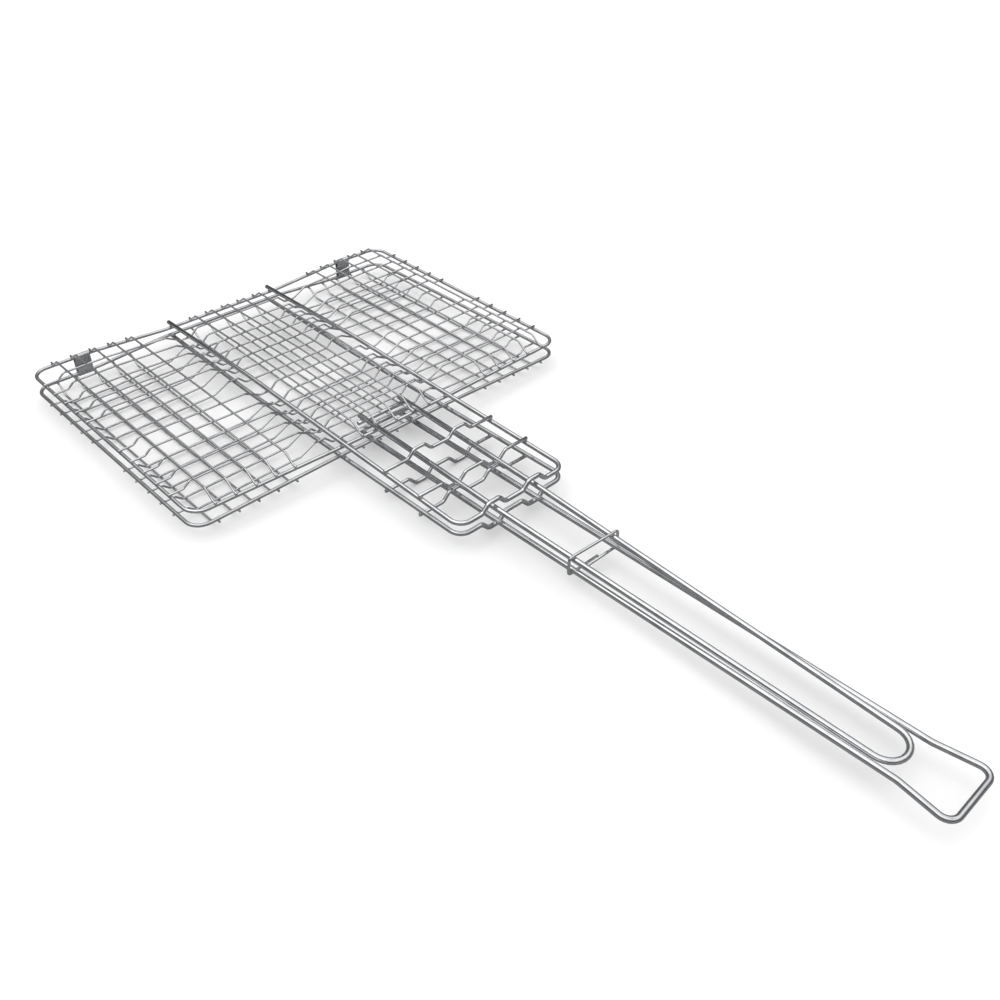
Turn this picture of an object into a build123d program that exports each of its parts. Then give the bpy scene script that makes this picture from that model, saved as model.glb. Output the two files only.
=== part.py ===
from build123d import *
from math import atan2, cos, degrees, radians, sin
import os

os.makedirs("parts", exist_ok=True)

# Campfire grill basket of chromed steel wire, in millimetres.
# Two mirrored halves hinge at the far edge (+Y); the handles point to -Y.
# Each half is laid out flat: x across, y from its near edge wire (0) to its far edge wire
# (basket_length), and h outward from the plane of its rim wire. It is then put in place.

# wire gauges
rim_wire = 3.2
spine_wire = 4.0
mesh_wire = 1.8
crossbar_wire = 3.0
handle_wire = 4.7
stop_wire = 4.0
ring_wire = 2.3

# basket
basket_width = 400.0
half_width = basket_width / 2
basket_length = 280.0
rim_corner_radius = 14.0
hinge_spacing = 17.0          # far edge wires, one above the other
wedge_angle = 1.89            # between the closed halves, in degrees
near_edge_bow = 3.2           # outer corners of each near edge bend this far outward
bow_start = 62.0              # the near edge is straight between plus and minus this x
bow_bend_radius = 400.0
far_edge_sag = 5.0            # the middle of each far edge bends this far inward
sag_flat_x = 66.0             # at full depth between plus and minus this x
sag_end_x = 140.0             # straight again from here to the corner, so that it can turn
sag_start_y = 140.0           # the mesh and the spine bend towards it from here
sag_bend_radius = 150.0

# mesh
mesh_pitch = 18.5
wires_per_bay = 5
side_margin = 20.5            # rim side wire to the first lengthwise wire
row_pitch = 20.05
rows_per_group = 5
row_margin = 31.4             # rim end wire to the first cross wire
mesh_stub = 1.9               # mesh wire ends past the rim wire
length_edge_run = 3.0         # flat run of a lengthwise wire inside the rim before it climbs
length_edge_ramp = 9.5        # length of that climb
cross_edge_run = 11.5         # the same two for a cross wire
cross_edge_ramp = 6.0
mesh_bend_radius = 4.0
spine_flat_side = 8.0         # flat beside the spine in a side bay, where a cross wire passes under
spine_ramp_side = 15.0        # climb beside that flat
spine_flat_middle = 3.0       # the same two in the middle bay
spine_ramp_middle = 7.5

# neck
spine_half_gap = 57.5
neck_length = 147.0
neck_corner_radius = 11.0
spine_stub = 6.0
inner_crossbar_y = -58.0
outer_crossbar_y = -101.0
crossbar_stub = 2.0

# humps that the handle wires are woven through
hump_flat = 5.5               # half of a hump's level top
hump_ramp = 7.0
hump_bend_radius = 5.0

# handles
leg_half_gap = 22.0
leg_tip_y = 23.0
leg_taper_y = -150.0          # the legs run parallel from their tips to here
stop_bar_y = 18.5
stop_bar_overhang = 3.0
upper_end_half_gap = 15.0
upper_end_y = -474.0          # where the round end of the upper handle starts
lower_end_half_gap = 20.7
flare_y = -494.0
flare_half_gap = 27.0
lower_end_y = -532.0
flare_bend_radius = 30.0
hang_corner_radius = 8.0
leg_bend_radius = 400.0
upper_end_bend_radius = 5.0

# the long wires are built in lengths that meet on straight runs
divide_past_bend = 10.0       # from a shallow bend to the cut
divide_past_corner = 3.0      # from the end of a neck corner to the cut
length_gap = 0.02             # between two lengths

# latch ring
ring_y = -232.0
ring_corner_radius = 3.2
ring_overlap = 7.0            # half of the lapped length in the middle of its lower bar

# hinge clips
clip_width = 15.0
clip_thickness = 1.0
clip_x = half_width - side_margin - 1.5 * mesh_pitch

# clearances
run_gap = 0.3                 # between parts that slide past each other
weld_gap = 0.02               # welded wires just meet
hinge_gap = 0.06              # radial, round the turning rim wire
clip_seat_gap = 0.02          # radial, round the fixed rim wire
ring_lap_gap = 0.1

# heights above the plane of the rim wire
spine_h = (rim_wire + spine_wire) / 2 + weld_gap
crossbar_h = spine_h + (spine_wire + crossbar_wire) / 2 + weld_gap
leg_h = (rim_wire + handle_wire) / 2 + run_gap
stop_h = leg_h - (handle_wire + stop_wire) / 2 - weld_gap
mesh_edge_h = (rim_wire + mesh_wire) / 2 + weld_gap
mesh_under_h = spine_h - (spine_wire + mesh_wire) / 2 - weld_gap
cross_wire_h = leg_h + (handle_wire + mesh_wire) / 2 + run_gap
length_wire_h = cross_wire_h + mesh_wire + weld_gap
weave_depth = crossbar_h - leg_h + (handle_wire + crossbar_wire) / 2 + run_gap

# how the closed basket stands: on the far end of its mesh and on the inner crossbar's humps
mesh_foot_h = length_wire_h + mesh_wire / 2
mesh_foot_run = length_edge_run + length_edge_ramp
hump_foot_h = crossbar_h + weave_depth + crossbar_wire / 2
hump_foot_run = basket_length - inner_crossbar_y
lower_tilt = degrees(atan2(hump_foot_h - mesh_foot_h, hump_foot_run - mesh_foot_run))
upper_tilt = wedge_angle - lower_tilt

# the origin is under the middle of the whole basket, on the surface that it stands on
handle_reach = basket_length - lower_end_y + handle_wire / 2
hinge_y = (handle_reach * cos(radians(lower_tilt)) - spine_stub) / 2
lower_hinge_z = mesh_foot_h * cos(radians(lower_tilt)) - mesh_foot_run * sin(radians(lower_tilt))
upper_hinge_z = lower_hinge_z + hinge_spacing

UPPER, LOWER = 1, -1


def place(shape, side):
    """Put a flat half-layout shape where it belongs in the closed basket."""
    hinge_z = upper_hinge_z if side == UPPER else lower_hinge_z
    tilt = upper_tilt if side == UPPER else -lower_tilt
    return Pos(0, hinge_y, hinge_z) * Rot(tilt, 0, 0) * Pos(0, -basket_length, 0) * shape


def bow(x, y):
    """Outward lift of a half: up to the near corners, and down to the middle of the far edge."""
    outboard = max(0.0, abs(x) - bow_start) / (half_width - bow_start)
    lift = near_edge_bow * outboard * (basket_length - y) / basket_length
    inboard = min(1.0, max(0.0, (sag_end_x - abs(x)) / (sag_end_x - sag_flat_x)))
    sag = far_edge_sag * inboard * max(0.0, y - sag_start_y) / (basket_length - sag_start_y)
    return lift - sag


def tube(points, radii, diameter, close=False):
    """A round wire along straight runs that meet in tangent bends."""
    path = FilletPolyline(*points, radius=radii, close=close)
    section = Plane(origin=path @ 0, z_dir=path % 0) * Circle(diameter / 2)
    return sweep(section, path=path)


def rod(start, end, diameter):
    """A straight round wire."""
    path = Line(start, end)
    section = Plane(origin=path @ 0, z_dir=path % 0) * Circle(diameter / 2)
    return sweep(section, path=path)


def tube_in_lengths(points, radii, diameter, cuts):
    """The same wire in lengths that just meet, cut across its straight runs.

    Each cut is (run, distance): from the run's first point, or back from its last if negative.
    """
    lengths, corners, bends = [], [Vector(*points[0])], []
    for run in range(len(points) - 1):
        start, end = Vector(*points[run]), Vector(*points[run + 1])
        along = (end - start).normalized()
        for distance in [reach for cut_run, reach in cuts if cut_run == run]:
            cut = start + along * distance if distance > 0 else end + along * distance
            lengths.append((corners + [cut], bends))
            corners, bends = [cut + along * length_gap], []
        corners.append(end)
        if run < len(radii):
            bends.append(radii[run])
    lengths.append((corners, bends))
    return Compound([tube(ends, turns, diameter) if turns else rod(*ends, diameter)
                     for ends, turns in lengths])


def hump(center, base, height):
    """Corner points, as (x, h), of one hump from left to right."""
    outer = hump_flat + hump_ramp
    return [(center - outer, base), (center - hump_flat, base + height),
            (center + hump_flat, base + height), (center + outer, base)]


def woven_profile(base, height):
    """Both humps of a bar that the two handle legs pass."""
    return hump(-leg_half_gap, base, height) + hump(leg_half_gap, base, height)


def make_rim(side):
    """The closed rectangle round one half: the near side's ends bend outward, the far side sags."""
    near = [(-half_width, 0), (-bow_start, 0), (bow_start, 0), (half_width, 0)]
    far = [(x, basket_length) for x in (half_width, sag_end_x, sag_flat_x,
                                        -sag_flat_x, -sag_end_x, -half_width)]
    corners = [(x, y, side * bow(x, y)) for x, y in near + far]
    radii = [rim_corner_radius, bow_bend_radius, bow_bend_radius, rim_corner_radius]
    radii += [rim_corner_radius] + [sag_bend_radius] * 4 + [rim_corner_radius]
    return tube(corners, radii, rim_wire, close=True)


def make_spine(side):
    """The U wire: both legs cross the whole basket and its end bar has two humps."""
    g, far = spine_half_gap, basket_length + spine_stub
    leg = [(far, spine_h + bow(g, far)), (sag_start_y, spine_h), (-neck_length, spine_h)]
    end_bar = [(x, -neck_length, side * h) for x, h in woven_profile(spine_h, weave_depth)]
    points = [(-g, y, side * h) for y, h in leg] + end_bar
    points += [(g, y, side * h) for y, h in reversed(leg)]
    radii = [bow_bend_radius, neck_corner_radius] + [hump_bend_radius] * len(end_bar)
    radii += [neck_corner_radius, bow_bend_radius]
    past_bend, past_corner = divide_past_bend, neck_corner_radius + divide_past_corner
    last = len(points) - 2
    cuts = [(0, -past_bend), (1, past_bend), (1, -past_corner),
            (last - 1, past_corner), (last - 1, -past_bend), (last, past_bend)]
    return tube_in_lengths(points, radii, spine_wire, cuts)


def make_crossbar(side, y, height):
    """A bar across the neck, on the spine legs, that passes over or under the handle legs."""
    reach = spine_half_gap + crossbar_stub
    points = [(-reach, crossbar_h)] + woven_profile(crossbar_h, height) + [(reach, crossbar_h)]
    return tube([(x, y, side * h) for x, h in points], hump_bend_radius, crossbar_wire)


def make_length_wire(side, x):
    """One mesh wire from the near rim wire to the far one, raised in between."""
    near = [(-mesh_stub, mesh_edge_h), (length_edge_run, mesh_edge_h),
            (length_edge_run + length_edge_ramp, length_wire_h)]
    bend = [(sag_start_y, length_wire_h)] if abs(x) < sag_end_x else []
    stops = near + bend + [(basket_length - y, h) for y, h in reversed(near)]
    points = [(x, y, side * (h + bow(x, y))) for y, h in stops]
    return tube(points, mesh_bend_radius, mesh_wire)


def make_cross_wire(side, y):
    """One mesh wire from side to side: raised in each bay, low at the rim and under the spine."""
    stops = [(half_width + mesh_stub, mesh_edge_h),
             (half_width - cross_edge_run, mesh_edge_h),
             (half_width - cross_edge_run - cross_edge_ramp, cross_wire_h)]
    stops += [(sag_end_x, cross_wire_h)] if y > sag_start_y else []
    stops += [(spine_half_gap + spine_flat_side + spine_ramp_side, cross_wire_h),
              (spine_half_gap + spine_flat_side, mesh_under_h),
              (spine_half_gap - spine_flat_middle, mesh_under_h),
              (spine_half_gap - spine_flat_middle - spine_ramp_middle, cross_wire_h)]
    stops += [(-x, h) for x, h in reversed(stops)]
    points = [(x, y, side * (h + bow(x, y))) for x, h in stops]
    return tube(points, mesh_bend_radius, mesh_wire)


def make_upper_handle():
    """A long narrow U with a round end."""
    points = [(-leg_half_gap, leg_tip_y), (-leg_half_gap, leg_taper_y),
              (-upper_end_half_gap, upper_end_y), (-upper_end_half_gap, upper_end_y - upper_end_half_gap),
              (upper_end_half_gap, upper_end_y - upper_end_half_gap), (upper_end_half_gap, upper_end_y),
              (leg_half_gap, leg_taper_y), (leg_half_gap, leg_tip_y)]
    end_radius = upper_end_half_gap * 0.98
    radii = [leg_bend_radius, upper_end_bend_radius, end_radius]
    radii += radii[::-1]
    cuts = [(0, -divide_past_bend), (1, -divide_past_bend), (5, divide_past_bend), (6, divide_past_bend)]
    return tube_in_lengths([(x, y, leg_h) for x, y in points], radii, handle_wire, cuts)


def make_lower_handle():
    """A U that passes the upper one and flares into a loop to hang it by."""
    half = [(-leg_half_gap, leg_tip_y), (-leg_half_gap, leg_taper_y),
            (-lower_end_half_gap, flare_y), (-flare_half_gap, lower_end_y)]
    points = half + [(-x, y) for x, y in reversed(half)]
    bends = [leg_bend_radius, flare_bend_radius, hang_corner_radius]
    corners = [(x, y, -leg_h) for x, y in points]
    cuts = [(0, -divide_past_bend), (1, -divide_past_bend), (5, divide_past_bend), (6, divide_past_bend)]
    return tube_in_lengths(corners, bends + bends[::-1], handle_wire, cuts)


def make_stop_bar(side):
    """The bar welded under the two tips of a handle, so that it can't be pulled out."""
    reach = leg_half_gap + handle_wire / 2 + stop_bar_overhang
    return rod((-reach, stop_bar_y, side * stop_h), (reach, stop_bar_y, side * stop_h), stop_wire)


def half_gap_at(y, end_half_gap, end_y):
    """Distance of a tapering leg from the middle."""
    share = max(0.0, (leg_taper_y - y) / (leg_taper_y - end_y))
    return leg_half_gap + (end_half_gap - leg_half_gap) * share


def leg_z(side, y):
    """Height of a leg above the surface that the basket stands on."""
    run = basket_length - y
    if side == UPPER:
        return upper_hinge_z - run * sin(radians(upper_tilt)) + leg_h * cos(radians(upper_tilt))
    return lower_hinge_z + run * sin(radians(lower_tilt)) - leg_h * cos(radians(lower_tilt))


def make_ring():
    """The closed wire loop round all four legs, lapped in the middle of its lower bar."""
    clear = handle_wire / 2 + ring_wire / 2 + run_gap
    inside_y = ring_y + ring_wire / 2
    half_x = half_gap_at(inside_y, lower_end_half_gap, flare_y) + clear
    top = leg_z(UPPER, inside_y) + clear
    bottom = leg_z(LOWER, inside_y) - clear
    y = hinge_y - basket_length + ring_y
    lap = (ring_wire + ring_lap_gap) / 2
    points = [(-ring_overlap, y - lap, bottom), (half_x, y - lap, bottom), (half_x, y - lap, top),
              (-half_x, y + lap, top), (-half_x, y + lap, bottom), (ring_overlap, y + lap, bottom)]
    return tube(points, ring_corner_radius, ring_wire)


def make_clip(x):
    """A strip folded round both far rim wires; its upper bend is where the basket hinges."""
    middle_z = (lower_hinge_z + upper_hinge_z) / 2
    seat_radius = rim_wire / 2 + clip_seat_gap
    turn_radius = rim_wire / 2 + hinge_gap
    section = Plane(origin=(x - clip_width / 2, hinge_y, middle_z), x_dir=(0, 1, 0), z_dir=(1, 0, 0))

    def loop(upper_radius, lower_radius):
        top = Pos(0, hinge_spacing / 2) * Circle(upper_radius)
        foot = Pos(0, -hinge_spacing / 2) * Circle(lower_radius)
        web = Polygon((upper_radius, hinge_spacing / 2), (-upper_radius, hinge_spacing / 2),
                      (-lower_radius, -hinge_spacing / 2), (lower_radius, -hinge_spacing / 2),
                      align=None)
        return top + foot + web

    outside = loop(turn_radius + clip_thickness, seat_radius + clip_thickness)
    inside = loop(turn_radius, seat_radius)
    return extrude(section * (outside - inside), clip_width)


def bay_positions():
    """The x of every lengthwise wire, bay by bay."""
    outermost = half_width - side_margin
    left = [-outermost + mesh_pitch * i for i in range(wires_per_bay)]
    middle = [mesh_pitch * (i - (wires_per_bay - 1) / 2) for i in range(wires_per_bay)]
    right = [-x for x in reversed(left)]
    return {"left": left, "middle": middle, "right": right}


def row_positions():
    """The y of every cross wire, in the row groups near and far."""
    near = [row_margin + row_pitch * i for i in range(rows_per_group)]
    far = [basket_length - y for y in reversed(near)]
    return {"near": near, "far": far}


def make_half(side, name):
    """Every piece of one half that is welded together, by node name."""
    nodes = {name + "_rim_frame": make_rim(side),
             name + "_spine": make_spine(side),
             name + "_inner_crossbar": make_crossbar(side, inner_crossbar_y, weave_depth),
             name + "_outer_crossbar": make_crossbar(side, outer_crossbar_y, -weave_depth)}
    for bay, xs in bay_positions().items():
        nodes[name + "_length_wires_" + bay] = Compound([make_length_wire(side, x) for x in xs])
    for group, ys in row_positions().items():
        nodes[name + "_cross_wires_" + group] = Compound([make_cross_wire(side, y) for y in ys])
    nodes[name + "_stop_bar"] = make_stop_bar(side)
    return nodes


nodes = {}
for side, name in ((UPPER, "upper"), (LOWER, "lower")):
    for node, shape in make_half(side, name).items():
        nodes[node] = place(shape, side)
nodes["upper_handle"] = place(make_upper_handle(), UPPER)
nodes["lower_handle"] = place(make_lower_handle(), LOWER)
nodes["latch_ring"] = make_ring()
nodes["left_hinge_clip"] = make_clip(-clip_x)
nodes["right_hinge_clip"] = make_clip(clip_x)

for node, shape in nodes.items():
    export_step(shape, "parts/" + node + ".step")
    print(node, len(shape.solids()), "solids")
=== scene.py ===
import math
import bpy
import numpy as np
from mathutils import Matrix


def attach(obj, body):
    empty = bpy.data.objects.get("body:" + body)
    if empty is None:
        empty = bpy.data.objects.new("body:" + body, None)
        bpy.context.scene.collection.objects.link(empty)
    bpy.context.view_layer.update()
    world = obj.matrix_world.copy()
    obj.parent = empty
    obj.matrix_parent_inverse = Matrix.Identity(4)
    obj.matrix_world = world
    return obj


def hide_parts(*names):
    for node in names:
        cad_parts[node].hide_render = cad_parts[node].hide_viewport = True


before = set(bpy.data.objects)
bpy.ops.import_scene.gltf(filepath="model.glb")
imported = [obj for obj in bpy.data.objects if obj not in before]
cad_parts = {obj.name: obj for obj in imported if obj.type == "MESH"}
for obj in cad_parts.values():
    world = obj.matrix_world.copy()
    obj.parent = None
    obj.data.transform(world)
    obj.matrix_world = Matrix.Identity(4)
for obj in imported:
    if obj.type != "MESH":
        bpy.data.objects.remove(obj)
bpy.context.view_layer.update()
print("frame loaded:", len(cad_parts), "nodes")

# Sizes are in millimetres. Each half is laid out flat: x across, y from its near edge wire (0)
# to its far edge wire, h outward from the plane of its rim wire. placeHalf tips it into the frame.
wires = dict(rim=3.2, spine=4.0, mesh=1.8, crossbar=3.0, handle=4.7, stop=4.0, ring=2.3,
             thin=2.0, roundSides=20, meshSides=12, arcSteps=7, endRounding=0.09, weldGap=0.02, runGap=0.3)
basket = dict(width=400.0, length=280.0, corner=14.0, hingeSpacing=17.0, wedge=1.89,
              nearBow=3.2, bowStart=62.0, bowBend=400.0, farSag=5.0, sagFlat=66.0, sagEnd=140.0,
              sagStart=140.0, sagBend=150.0)
mesh = dict(pitch=18.5, margin=20.5, rowPitch=20.05, rowMargin=31.4, stub=1.9, bend=4.0,
            lengthRun=3.0, lengthRamp=9.5, crossRun=11.5, crossRamp=6.0,
            sideFlat=8.0, sideRamp=15.0, middleFlat=3.0, middleRamp=7.5)
neck = dict(halfGap=57.5, length=147.0, corner=11.0, stub=6.0, inner=-58.0, outer=-101.0,
            crossbarStub=2.0, humpFlat=5.5, humpRamp=7.0, humpBend=5.0)
handle = dict(legGap=22.0, tip=23.0, taper=-150.0, stopY=18.5, stopOver=3.0, legBend=400.0,
              upperGap=15.0, upperEnd=-474.0, lowerGap=20.7, flareY=-494.0, flareGap=27.0,
              lowerEnd=-532.0, flareBend=30.0, hangBend=8.0, upperEndBend=5.0)
ring = dict(y=-232.0, bend=3.2, overlap=7.0, lapGap=0.1)
clip = dict(width=15.0, thickness=1.0, turnGap=0.06, seatGap=0.02, seam=1.2,
            endSquareness=0.12, edgeSquareness=0.45)
# weld beads: two half widths along the surface and a half height
beadSizes = dict(mesh=(1.25, 1.25, 0.62), rim=(1.5, 1.5, 0.6), underSpine=(1.7, 1.7, 0.6),
                 spineEnd=(2.3, 2.3, 0.8), crossbar=(2.1, 2.1, 0.75), stop=(2.6, 2.6, 0.9),
                 lap=(1.9, 1.5, 0.75))


# vectors divided by their own length
def unit(v):
    return v / np.linalg.norm(v, axis=-1, keepdims=True)


# heights above the plane of the rim wire
spineH = (wires["rim"] + wires["spine"]) / 2 + wires["weldGap"]
crossbarH = spineH + (wires["spine"] + wires["crossbar"]) / 2 + wires["weldGap"]
legH = (wires["rim"] + wires["handle"]) / 2 + wires["runGap"]
stopH = legH - (wires["handle"] + wires["stop"]) / 2 - wires["weldGap"]
edgeH = (wires["rim"] + wires["mesh"]) / 2 + wires["weldGap"]
underH = spineH - (wires["spine"] + wires["mesh"]) / 2 - wires["weldGap"]
crossH = legH + (wires["handle"] + wires["mesh"]) / 2 + wires["runGap"]
lengthH = crossH + wires["mesh"] + wires["weldGap"]
weave = crossbarH - legH + (wires["handle"] + wires["crossbar"]) / 2 + wires["runGap"]

# how the closed basket stands, and the hinge that both halves hang on
meshFootRun = mesh["lengthRun"] + mesh["lengthRamp"]
meshFootH = lengthH + wires["mesh"] / 2
humpFootH = crossbarH + weave + wires["crossbar"] / 2
lowerTilt = math.atan2(humpFootH - meshFootH, basket["length"] - neck["inner"] - meshFootRun)
upperTilt = math.radians(basket["wedge"]) - lowerTilt
reach = basket["length"] - handle["lowerEnd"] + wires["handle"] / 2
hingeY = (reach * math.cos(lowerTilt) - neck["stub"]) / 2
hingeZ = {-1: meshFootH * math.cos(lowerTilt) - meshFootRun * math.sin(lowerTilt)}
hingeZ[1] = hingeZ[-1] + basket["hingeSpacing"]
tilt = {1: upperTilt, -1: -lowerTilt}
halfWidth = basket["width"] / 2


# Flat layout to frame: height mirrored for the lower half, then turned about its hinge wire.
def placeHalf(points, side):
    p = np.asarray(points, float)
    back, up = p[..., 1] - basket["length"], p[..., 2] * side
    c, s = math.cos(tilt[side]), math.sin(tilt[side])
    return np.stack([p[..., 0], hingeY + back * c - up * s, hingeZ[side] + back * s + up * c], -1)


# Lift of a half: grows in step with x beyond the spine and towards the near edge, less the
# sag, which grows in step from sagEnd in to sagFlat and from sagStart to the far edge.
def bow(x, y):
    b, x = basket, np.abs(x)
    lift = b["nearBow"] * np.maximum(0.0, x - b["bowStart"]) / (halfWidth - b["bowStart"])
    inboard = np.clip((b["sagEnd"] - x) / (b["sagEnd"] - b["sagFlat"]), 0.0, 1.0)
    beyond = np.maximum(0.0, y - b["sagStart"]) / (b["length"] - b["sagStart"])
    return lift * (b["length"] - y) / b["length"] - b["farSag"] * inboard * beyond


# Straight runs joined by tangent arcs: each corner gives up a length r tan(turn / 2) of both
# runs, and the arc is centre + cos(a) start + sin(a) r tangent for a from 0 to the turn.
def bentPath(corners, bends, closed=False):
    p = np.array(corners, float)
    before = np.roll(p, 1, 0) if closed else p[:-2]
    here = p if closed else p[1:-1]
    after = np.roll(p, -1, 0) if closed else p[2:]
    r = np.broadcast_to(np.asarray(bends, float), (len(here),))[:, None]
    a, b = unit(here - before), unit(after - here)
    turn = np.arccos(np.clip((a * b).sum(1, keepdims=True), -1, 1))
    centre = here + unit(b - a) * r / np.cos(turn / 2)
    start = here - a * r * np.tan(turn / 2) - centre
    angle = (turn * np.linspace(0, 1, wires["arcSteps"] + 1))[:, :, None]
    arcs = centre[:, None] + np.cos(angle) * start[:, None] + np.sin(angle) * (r * a)[:, None]
    path = arcs.reshape(-1, 3)
    return path if closed else np.vstack([p[:1], path, p[-1:]])


# A profile carried along a path: point + u side + v other, where side is up made square to
# the tangent and other completes the frame. Open ends close with a slightly smaller face.
def sweptSurface(path, section, up, closed=False, endInset=0.0):
    p = np.asarray(path, float)
    step = np.roll(p, -1, 0) - np.roll(p, 1, 0) if closed else np.vstack([p[1:2] - p[:1],
                                                                           p[2:] - p[:-2],
                                                                           p[-1:] - p[-2:-1]])
    t = unit(step)
    grow = np.ones(len(p))
    if not closed:
        p = np.vstack([p[:1], p[:1] + t[:1] * endInset, p[1:-1], p[-1:] - t[-1:] * endInset, p[-1:]])
        t = np.vstack([t[:1], t, t[-1:]])
        shrink = 1 - endInset / np.abs(section).max(0).min()
        grow = np.concatenate([[shrink], grow, [shrink]])
    side = unit(up - (t @ up)[:, None] * t)
    other = np.cross(t, side)
    n, m = len(p), len(section)
    offset = section[None] * grow[:, None, None]
    co = p[:, None] + offset[..., :1] * side[:, None] + offset[..., 1:] * other[:, None]
    along = np.concatenate([[0], np.cumsum(np.linalg.norm(np.diff(p, axis=0), axis=1))])
    spot = np.concatenate([np.broadcast_to(along[:, None, None], (n, m, 1)), offset], -1)
    i, j = np.meshgrid(np.arange(n if closed else n - 1), np.arange(m), indexing="ij")
    quads = np.stack([i * m + j, i * m + (j + 1) % m, (i + 1) % n * m + (j + 1) % m,
                      (i + 1) % n * m + j], -1).reshape(-1, 4)
    caps = [] if closed else [np.arange(m)[::-1], (n - 1) * m + np.arange(m)]
    return dict(co=co.reshape(-1, 3), spot=spot.reshape(-1, 3), quads=quads, caps=caps)


# Round profile: radius times cosine and sine.
def circle(diameter, sides):
    a = np.arange(sides) * 2 * math.pi / sides
    return np.stack([np.cos(a), np.sin(a)], 1) * diameter / 2


# A round wire: a circle carried along the path, its open ends slightly rounded off.
def roundWire(path, diameter, up=(0, 0, 1), closed=False):
    sides = wires["meshSides"] if diameter < wires["thin"] else wires["roundSides"]
    inset = diameter * wires["endRounding"]
    return sweptSurface(path, circle(diameter, sides), np.array(up, float), closed, inset)


# Weld beads: one small ellipsoid, rings of radius cos(latitude) between two flat poles,
# copied to every centre and turned so that its short axis follows normal.
def beads(centres, size, normal=(0, 0, 1)):
    sides, latitude = 8, np.radians([-62, -22, 22, 62])
    a = np.arange(sides) * 2 * math.pi / sides
    shape = np.stack([np.cos(latitude)[:, None] * np.cos(a), np.cos(latitude)[:, None] * np.sin(a),
                      np.broadcast_to(np.sin(latitude)[:, None], (4, sides))], -1).reshape(-1, 3)
    w = unit(np.array(normal, float))
    u = unit(np.cross(w, [0.3, 1.0, 0.2]))
    turned = (shape * size) @ np.array([u, np.cross(w, u), w])
    centres = np.asarray(centres, float).reshape(-1, 3)
    co = (centres[:, None] + turned[None]).reshape(-1, 3)
    i, j = np.meshgrid(np.arange(3), np.arange(sides), indexing="ij")
    one = np.stack([i * sides + j, i * sides + (j + 1) % sides, (i + 1) * sides + (j + 1) % sides,
                    (i + 1) * sides + j], -1).reshape(-1, 4)
    first = (np.arange(len(centres)) * len(shape))[:, None, None]
    quads = (one[None] + first).reshape(-1, 4)
    caps = [row for f in first.ravel() for row in (f + np.arange(sides)[::-1], f + 24 + np.arange(sides))]
    return dict(co=co, spot=co * 0.4, quads=quads, caps=caps)


# Joins surfaces into one object in metres, with the along-the-wire place as an attribute.
def makePiece(name, body, surfaces, material, nodes=()):
    first = np.cumsum([0] + [len(s["co"]) for s in surfaces])
    co = np.concatenate([s["co"] for s in surfaces]) * 0.001
    quads = np.concatenate([s["quads"] + f for s, f in zip(surfaces, first)])
    caps = [(c + f).tolist() for s, f in zip(surfaces, first) for c in s["caps"]]
    data = bpy.data.meshes.new(name)
    data.from_pydata(co.tolist(), [], quads.tolist() + caps)
    smooth = np.zeros(len(data.polygons), bool)
    smooth[:len(quads)] = True
    data.polygons.foreach_set("use_smooth", smooth)
    spot = data.attributes.new("drawn", "FLOAT_VECTOR", "POINT")
    spot.data.foreach_set("vector", np.concatenate([s["spot"] for s in surfaces]).astype(np.float32).ravel())
    data.materials.append(material)
    data.validate()
    data.update()
    obj = bpy.data.objects.new(name, data)
    bpy.context.scene.collection.objects.link(obj)
    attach(obj, body)
    if nodes:
        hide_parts(*nodes)
    return obj


# Plated wire: bright metal with faint drawing lines along the wire, cloudy plating and fine dust
plating = dict(colour=(0.80, 0.81, 0.83), dull=(0.62, 0.63, 0.65), shine=0.09, haze=0.24, lines=0.05)
strip = dict(colour=(0.76, 0.77, 0.79), dull=(0.58, 0.59, 0.61), shine=0.16, haze=0.32, lines=0.08)


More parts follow.
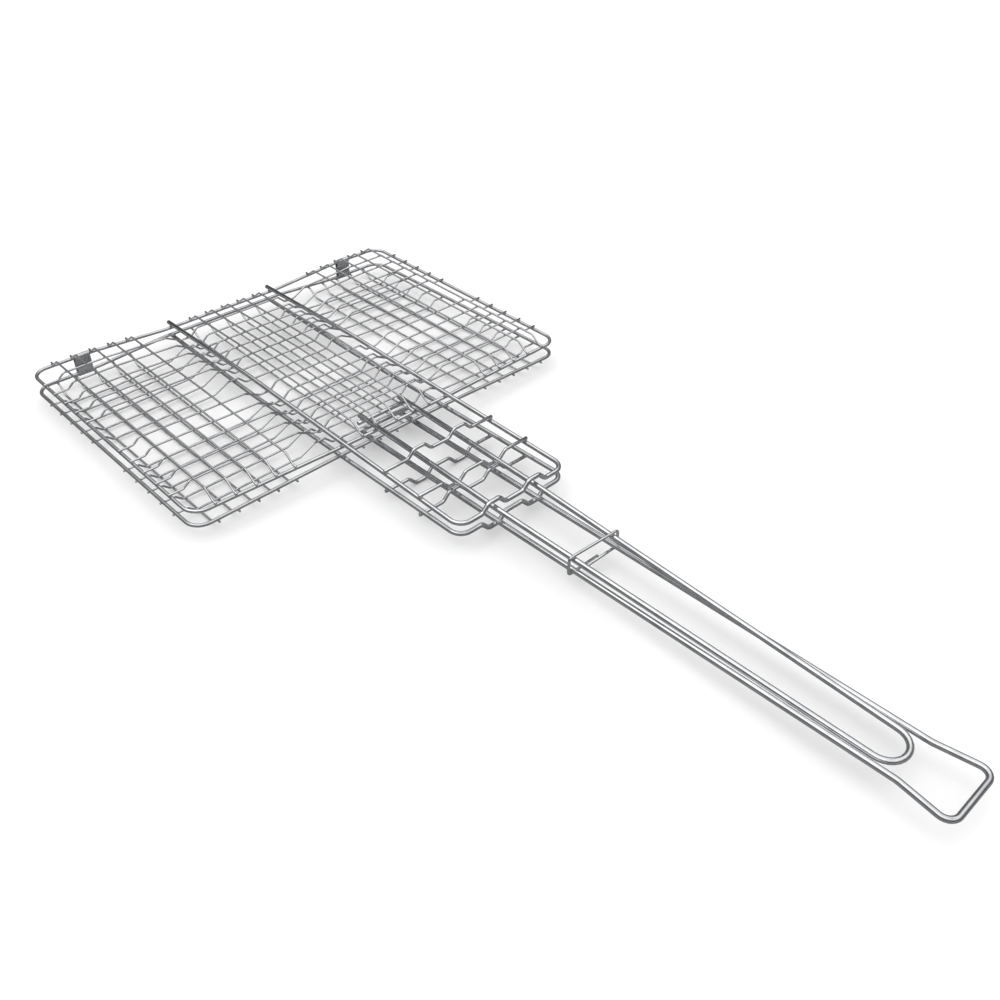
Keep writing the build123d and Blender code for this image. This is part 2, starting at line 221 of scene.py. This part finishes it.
def platedMetal(name, look):
    material = bpy.data.materials.new(name)
    material.use_nodes = True
    tree = material.node_tree
    nodes, links = tree.nodes, tree.links
    shader = nodes["Principled BSDF"]
    shader.inputs["Metallic"].default_value = 1.0

    where = nodes.new("ShaderNodeTexCoord")
    cloud = nodes.new("ShaderNodeTexNoise")                 # slow changes in the plating
    cloud.inputs["Scale"].default_value = 55.0
    cloud.inputs["Detail"].default_value = 5.0
    links.new(where.outputs["Object"], cloud.inputs["Vector"])

    drawn = nodes.new("ShaderNodeAttribute")                # length along, then across the wire
    drawn.attribute_name = "drawn"
    stretch = nodes.new("ShaderNodeMapping")
    stretch.inputs["Scale"].default_value = (0.04, 1.6, 1.6)
    links.new(drawn.outputs["Vector"], stretch.inputs["Vector"])
    lines = nodes.new("ShaderNodeTexNoise")
    lines.inputs["Scale"].default_value = 1.0
    lines.inputs["Detail"].default_value = 6.0
    lines.inputs["Roughness"].default_value = 0.65
    links.new(stretch.outputs["Vector"], lines.inputs["Vector"])

    tone = nodes.new("ShaderNodeMix")
    tone.data_type = "RGBA"
    tone.inputs["A"].default_value = (*look["dull"], 1)
    tone.inputs["B"].default_value = (*look["colour"], 1)
    reachTone = nodes.new("ShaderNodeMapRange")
    reachTone.inputs["From Min"].default_value = 0.30
    reachTone.inputs["From Max"].default_value = 0.55
    links.new(cloud.outputs["Fac"], reachTone.inputs["Value"])
    links.new(reachTone.outputs["Result"], tone.inputs["Factor"])
    links.new(tone.outputs["Result"], shader.inputs["Base Color"])

    gloss = nodes.new("ShaderNodeMapRange")
    gloss.inputs["From Min"].default_value = 0.35
    gloss.inputs["From Max"].default_value = 0.70
    gloss.inputs["To Min"].default_value = look["shine"]
    gloss.inputs["To Max"].default_value = look["haze"]
    links.new(lines.outputs["Fac"], gloss.inputs["Value"])
    links.new(gloss.outputs["Result"], shader.inputs["Roughness"])

    bump = nodes.new("ShaderNodeBump")
    bump.inputs["Strength"].default_value = look["lines"]
    bump.inputs["Distance"].default_value = 0.0002
    links.new(lines.outputs["Fac"], bump.inputs["Height"])
    links.new(bump.outputs["Normal"], shader.inputs["Normal"])
    return material


platedWire = platedMetal("platedWire", plating)
platedStrip = platedMetal("platedStrip", strip)
weldLook = dict(plating, colour=(0.50, 0.50, 0.52), dull=(0.26, 0.26, 0.27), shine=0.22, haze=0.42)
weldMetal = platedMetal("weldMetal", weldLook)
print("materials made")

# places of the mesh wires
outermost = halfWidth - mesh["margin"]
bays = {"left": -outermost + mesh["pitch"] * np.arange(5), "middle": mesh["pitch"] * (np.arange(5) - 2.0),
        "right": outermost - mesh["pitch"] * np.arange(5)[::-1]}
rows = {"near": mesh["rowMargin"] + mesh["rowPitch"] * np.arange(5)}
rows["far"] = basket["length"] - rows["near"][::-1]
allX, allY = np.concatenate(list(bays.values())), np.concatenate(list(rows.values()))


def hump(centre, base, rise):
    outer = neck["humpFlat"] + neck["humpRamp"]
    return [(centre - outer, base), (centre - neck["humpFlat"], base + rise),
            (centre + neck["humpFlat"], base + rise), (centre + outer, base)]


def twoHumps(base, rise):
    return hump(-handle["legGap"], base, rise) + hump(handle["legGap"], base, rise)


def rimPath(side):
    w, n, m, s, b = halfWidth, basket["bowStart"], basket["sagEnd"], basket["sagFlat"], basket
    spots = [(x, 0.0) for x in (-w, -n, n, w)] + [(x, b["length"]) for x in (w, m, s, -s, -m, -w)]
    bends = [b["corner"], b["bowBend"], b["bowBend"], b["corner"]]
    bends += [b["corner"]] + [b["sagBend"]] * 4 + [b["corner"]]
    return placeHalf(bentPath([(x, y, bow(x, y)) for x, y in spots], bends, True), side)


def spinePath(side):
    far, g = basket["length"] + neck["stub"], neck["halfGap"]
    leg = [(far, spineH + bow(g, far)), (basket["sagStart"], spineH), (-neck["length"], spineH)]
    bar = [(x, -neck["length"], h) for x, h in twoHumps(spineH, weave)]
    corners = [(-g, y, h) for y, h in leg] + bar + [(g, y, h) for y, h in reversed(leg)]
    bends = [basket["bowBend"], neck["corner"]] + [neck["humpBend"]] * 8
    return placeHalf(bentPath(corners, bends + [neck["corner"], basket["bowBend"]]), side)


def crossbarPath(side, y, rise):
    end = neck["halfGap"] + neck["crossbarStub"]
    profile = [(-end, crossbarH)] + twoHumps(crossbarH, rise) + [(end, crossbarH)]
    return placeHalf(bentPath([(x, y, h) for x, h in profile], neck["humpBend"]), side)


def lengthWirePath(side, x):
    near = [(-mesh["stub"], edgeH), (mesh["lengthRun"], edgeH), (meshFootRun, lengthH)]
    dip = [(basket["sagStart"], lengthH)] if abs(x) < basket["sagEnd"] else []
    stops = near + dip + [(basket["length"] - y, h) for y, h in reversed(near)]
    return placeHalf(bentPath([(x, y, h + bow(x, y)) for y, h in stops], mesh["bend"]), side)


def crossWirePath(side, y):
    w, g = halfWidth, neck["halfGap"]
    right = [(w + mesh["stub"], edgeH), (w - mesh["crossRun"], edgeH),
             (w - mesh["crossRun"] - mesh["crossRamp"], crossH)]
    right += [(basket["sagEnd"], crossH)] if y > basket["sagStart"] else []
    right += [(g + mesh["sideFlat"] + mesh["sideRamp"], crossH), (g + mesh["sideFlat"], underH),
              (g - mesh["middleFlat"], underH), (g - mesh["middleFlat"] - mesh["middleRamp"], crossH)]
    stops = right + [(-x, h) for x, h in reversed(right)]
    return placeHalf(bentPath([(x, y, h + bow(x, y)) for x, h in stops], mesh["bend"]), side)


# Every pair of x and y at height h, with the bow of the half added.
def grid(x, y, h):
    gx, gy = np.meshgrid(x, y, indexing="ij")
    return np.stack([gx, gy, h + bow(gx, gy)], -1).reshape(-1, 3)


for side, half in ((1, "upper"), (-1, "lower")):
    body = half + "_grid"
    outward = (0, 0, side)
    across = (0, 1, 0)
    makePiece(half + "RimFrame", body, [roundWire(rimPath(side), wires["rim"], closed=True)],
              platedWire, [half + "_rim_frame"])
    makePiece(half + "Spine", body, [roundWire(spinePath(side), wires["spine"], (0.2, 0.35, 1))],
              platedWire, [half + "_spine"])
    for label, y, rise in (("Inner", neck["inner"], weave), ("Outer", neck["outer"], -weave)):
        makePiece(half + label + "Crossbar", body,
                  [roundWire(crossbarPath(side, y, rise), wires["crossbar"], across)],
                  platedWire, [f"{half}_{label.lower()}_crossbar"])
    for bay, xs in bays.items():
        makePiece(half + "LengthWires" + bay.title(), body,
                  [roundWire(lengthWirePath(side, x), wires["mesh"], (1, 0, 0)) for x in xs],
                  platedWire, [half + "_length_wires_" + bay])
    for group, ys in rows.items():
        makePiece(half + "CrossWires" + group.title(), body,
                  [roundWire(crossWirePath(side, y), wires["mesh"], across) for y in ys],
                  platedWire, [half + "_cross_wires_" + group])

    rimH, ends = wires["rim"] / 2, [0.0, basket["length"]]
    legs = [-neck["halfGap"], neck["halfGap"]]
    spots = [(grid(allX, allY, (crossH + lengthH) / 2), "mesh"),
             (grid(allX, ends, rimH), "rim"),
             (grid([-halfWidth, halfWidth], allY, rimH), "rim"),
             (grid(legs, allY, underH + wires["mesh"] / 2), "underSpine"),
             (grid(legs, ends, rimH), "spineEnd"),
             (grid(legs, [neck["inner"], neck["outer"]], spineH + wires["spine"] / 2), "crossbar")]
    makePiece(half + "Welds", body,
              [beads(placeHalf(at, side), beadSizes[size], outward) for at, size in spots], weldMetal)
print("both halves made")


# A handle: two legs from their tips to the taper, then whatever end it has, mirrored.
def legPath(end, tipBends):
    start = [(-handle["legGap"], handle["tip"]), (-handle["legGap"], handle["taper"])] + end
    corners = start + [(-x, y) for x, y in reversed(start)]
    bends = [handle["legBend"]] + tipBends + tipBends[::-1] + [handle["legBend"]]
    return bentPath([(x, y, legH) for x, y in corners], bends)


upperEnd = [(-handle["upperGap"], handle["upperEnd"]),
            (-handle["upperGap"], handle["upperEnd"] - handle["upperGap"])]
lowerEnd = [(-handle["lowerGap"], handle["flareY"]), (-handle["flareGap"], handle["lowerEnd"])]
upperBends = [handle["upperEndBend"], handle["upperGap"] * 0.98]
handlePaths = {"upper": legPath(upperEnd, upperBends),
               "lower": legPath(lowerEnd, [handle["flareBend"], handle["hangBend"]])}
for side, half in ((1, "upper"), (-1, "lower")):
    body = half + "_slide"
    makePiece(half + "Handle", body, [roundWire(placeHalf(handlePaths[half], side), wires["handle"])],
              platedWire, [half + "_handle"])
    over = handle["legGap"] + wires["handle"] / 2 + handle["stopOver"]
    bar = placeHalf([(-over, handle["stopY"], stopH), (over, handle["stopY"], stopH)], side)
    makePiece(half + "StopBar", body, [roundWire(bar, wires["stop"])], platedWire, [half + "_stop_bar"])
    toe = [(x, handle["stopY"], stopH + wires["stop"] / 2) for x in (-handle["legGap"], handle["legGap"])]
    makePiece(half + "StopWelds", body,
              [beads(placeHalf(toe, side), beadSizes["stop"], (0, 0, side))], weldMetal)
print("handles made")


def legZ(side, y):
    run = basket["length"] - y
    angle = upperTilt if side > 0 else lowerTilt
    return hingeZ[side] - side * run * math.sin(angle) + side * legH * math.cos(angle)


clear = (wires["handle"] + wires["ring"]) / 2 + wires["runGap"]
insideY = ring["y"] + wires["ring"] / 2
share = (handle["taper"] - insideY) / (handle["taper"] - handle["flareY"])
ringX = handle["legGap"] + (handle["lowerGap"] - handle["legGap"]) * share + clear
top, bottom = legZ(1, insideY) + clear, legZ(-1, insideY) - clear
ringY, lap = hingeY - basket["length"] + ring["y"], (wires["ring"] + ring["lapGap"]) / 2
corners = [(-ring["overlap"], ringY - lap, bottom), (ringX, ringY - lap, bottom), (ringX, ringY - lap, top),
           (-ringX, ringY + lap, top), (-ringX, ringY + lap, bottom), (ring["overlap"], ringY + lap, bottom)]
makePiece("LatchRing", "latch", [roundWire(bentPath(corners, ring["bend"]), wires["ring"], (0, 1, 0))],
          platedWire, ["latch_ring"])
lapSpots = [(x, ringY, bottom) for x in (-3.5, 0.0, 3.5)]
makePiece("LatchRingWeld", "latch", [beads(lapSpots, beadSizes["lap"], (0, 0.15, 1))], weldMetal)


# A strip folded round both far wires: a stadium loop, open at a narrow seam at the front.
def clipSurface(centre):
    seat = wires["rim"] / 2 + clip["seatGap"] + clip["thickness"] / 2
    turn = wires["rim"] / 2 + clip["turnGap"] + clip["thickness"] / 2
    middle = (hingeZ[1] + hingeZ[-1]) / 2
    up, down = np.linspace(math.pi, 0, 17), np.linspace(0, -math.pi, 17)
    upper = np.stack([turn * np.cos(up), hingeZ[1] + turn * np.sin(up)], 1)
    lower = np.stack([seat * np.cos(down), hingeZ[-1] + seat * np.sin(down)], 1)
    seam = clip["seam"] / 2
    loop = np.vstack([[(-turn, middle + seam)], upper, lower, [(-seat, middle - seam)]])
    path = np.column_stack([np.full(len(loop), centre), hingeY + loop[:, 0], loop[:, 1]])
    a = np.arange(28) * 2 * math.pi / 28
    c, s = np.cos(a), np.sin(a)
    section = np.stack([np.sign(c) * np.abs(c) ** clip["endSquareness"] * clip["width"] / 2,
                        np.sign(s) * np.abs(s) ** clip["edgeSquareness"] * clip["thickness"] / 2], 1)
    return sweptSurface(path, section, np.array([1.0, 0, 0]), False, 0.1)


clipX = halfWidth - mesh["margin"] - 1.5 * mesh["pitch"]
for label, x in (("left", -clipX), ("right", clipX)):
    makePiece(label + "HingeClip", "lower_grid", [clipSurface(x)], platedStrip,
              [label + "_hinge_clip"])
print("ring and clips made")

# Studio: a pale floor that keeps a soft shadow, light from above, and a dark low horizon for the
# wires to reflect
studio = dict(floorSize=40.0, floorCamera=0.93, floorMirror=0.22, sky=1.05, lamp=0.5,
              lampAngle=55.0, lampFrom=(-0.15, 0.08, 1.0))
floorMesh = bpy.data.meshes.new("floor")
edge = studio["floorSize"] / 2
corners = [(-edge, -edge, 0), (edge, -edge, 0), (edge, edge, 0), (-edge, edge, 0)]
floorMesh.from_pydata(corners, [], [(0, 1, 2, 3)])
floor = bpy.data.objects.new("floor", floorMesh)
bpy.context.scene.collection.objects.link(floor)
floorMaterial = bpy.data.materials.new("paleFloor")
floorMaterial.use_nodes = True
nodes, links = floorMaterial.node_tree.nodes, floorMaterial.node_tree.links
nodes.clear()
bright = nodes.new("ShaderNodeBsdfDiffuse")
bright.inputs["Color"].default_value = (studio["floorCamera"],) * 3 + (1,)
dim = nodes.new("ShaderNodeBsdfDiffuse")
dim.inputs["Color"].default_value = (studio["floorMirror"],) * 3 + (1,)
rayKind = nodes.new("ShaderNodeLightPath")
pick = nodes.new("ShaderNodeMixShader")
floorOut = nodes.new("ShaderNodeOutputMaterial")
links.new(rayKind.outputs["Is Glossy Ray"], pick.inputs[0])
links.new(bright.outputs[0], pick.inputs[1])
links.new(dim.outputs[0], pick.inputs[2])
links.new(pick.outputs[0], floorOut.inputs["Surface"])
floorMesh.materials.append(floorMaterial)

world = bpy.data.worlds.new("studio")
bpy.context.scene.world = world
world.use_nodes = True
nodes, links = world.node_tree.nodes, world.node_tree.links
nodes.clear()
direction = nodes.new("ShaderNodeTexCoord")
split = nodes.new("ShaderNodeSeparateXYZ")
links.new(direction.outputs["Generated"], split.inputs[0])
ramp = nodes.new("ShaderNodeValToRGB")                      # height of the direction to brightness
links.new(split.outputs["Z"], ramp.inputs["Fac"])
skyStops = [(0.0, 0.05), (0.28, 0.09), (0.46, 0.17), (0.58, 0.32), (0.67, 0.6), (0.76, 0.95),
            (0.87, 0.9), (0.94, 0.35)]
ramp.color_ramp.elements.remove(ramp.color_ramp.elements[1])
for index, (at, level) in enumerate(skyStops):
    stop = ramp.color_ramp.elements[0] if index == 0 else ramp.color_ramp.elements.new(at)
    stop.position, stop.color = at, (level, level, level, 1)
mirrorSky = nodes.new("ShaderNodeBackground")
links.new(ramp.outputs["Color"], mirrorSky.inputs["Color"])
mirrorSky.inputs["Strength"].default_value = 1.25
plainSky = nodes.new("ShaderNodeBackground")
plainSky.inputs["Color"].default_value = (1, 1, 1, 1)
plainSky.inputs["Strength"].default_value = studio["sky"]
rayKind = nodes.new("ShaderNodeLightPath")
pick = nodes.new("ShaderNodeMixShader")
worldOut = nodes.new("ShaderNodeOutputWorld")
links.new(rayKind.outputs["Is Glossy Ray"], pick.inputs[0])
links.new(plainSky.outputs[0], pick.inputs[1])
links.new(mirrorSky.outputs[0], pick.inputs[2])
links.new(pick.outputs[0], worldOut.inputs["Surface"])

lamp = bpy.data.lights.new("overhead", "SUN")
lamp.angle = math.radians(studio["lampAngle"])
lamp.energy = studio["lamp"]
lampObject = bpy.data.objects.new("overhead", lamp)
bpy.context.scene.collection.objects.link(lampObject)
toLamp = studio["lampFrom"]
lampObject.rotation_euler = (math.atan2(math.hypot(toLamp[0], toLamp[1]), toLamp[2]), 0,
                             math.atan2(toLamp[0], -toLamp[1]))

# camera as in the photograph: it looks 44 degrees to the right of +Y and 38 degrees down
shot = dict(focal=1.03845, azimuth=44.19, down=38.09, roll=0.83, distance=823.65, target=(-7.65, -139.0),
            level=18.7)
azimuth, down, roll = (math.radians(shot[k]) for k in ("azimuth", "down", "roll"))
ahead = np.array([math.sin(azimuth) * math.cos(down), math.cos(azimuth) * math.cos(down), -math.sin(down)])
right = np.array([math.cos(azimuth), -math.sin(azimuth), 0])
upward = np.cross(right, ahead)
camX = math.cos(roll) * right + math.sin(roll) * upward
camY = -math.sin(roll) * right + math.cos(roll) * upward
target = np.array([shot["target"][0], shot["target"][1] + hingeY - basket["length"], shot["level"]])
eye = (target - ahead * shot["distance"]) * 0.001
camera = bpy.data.cameras.new("camera")
camera.sensor_width = 36
camera.lens = 36 * shot["focal"]
camera.clip_start, camera.clip_end = 0.05, 60
cameraObject = bpy.data.objects.new("camera", camera)
bpy.context.scene.collection.objects.link(cameraObject)
turned = np.eye(4)
turned[:3, 0], turned[:3, 1], turned[:3, 2], turned[:3, 3] = camX, camY, -ahead, eye
cameraObject.matrix_world = turned.T
bpy.context.scene.camera = cameraObject
bpy.context.scene.view_settings.view_transform = "Standard"
print("studio and camera set")
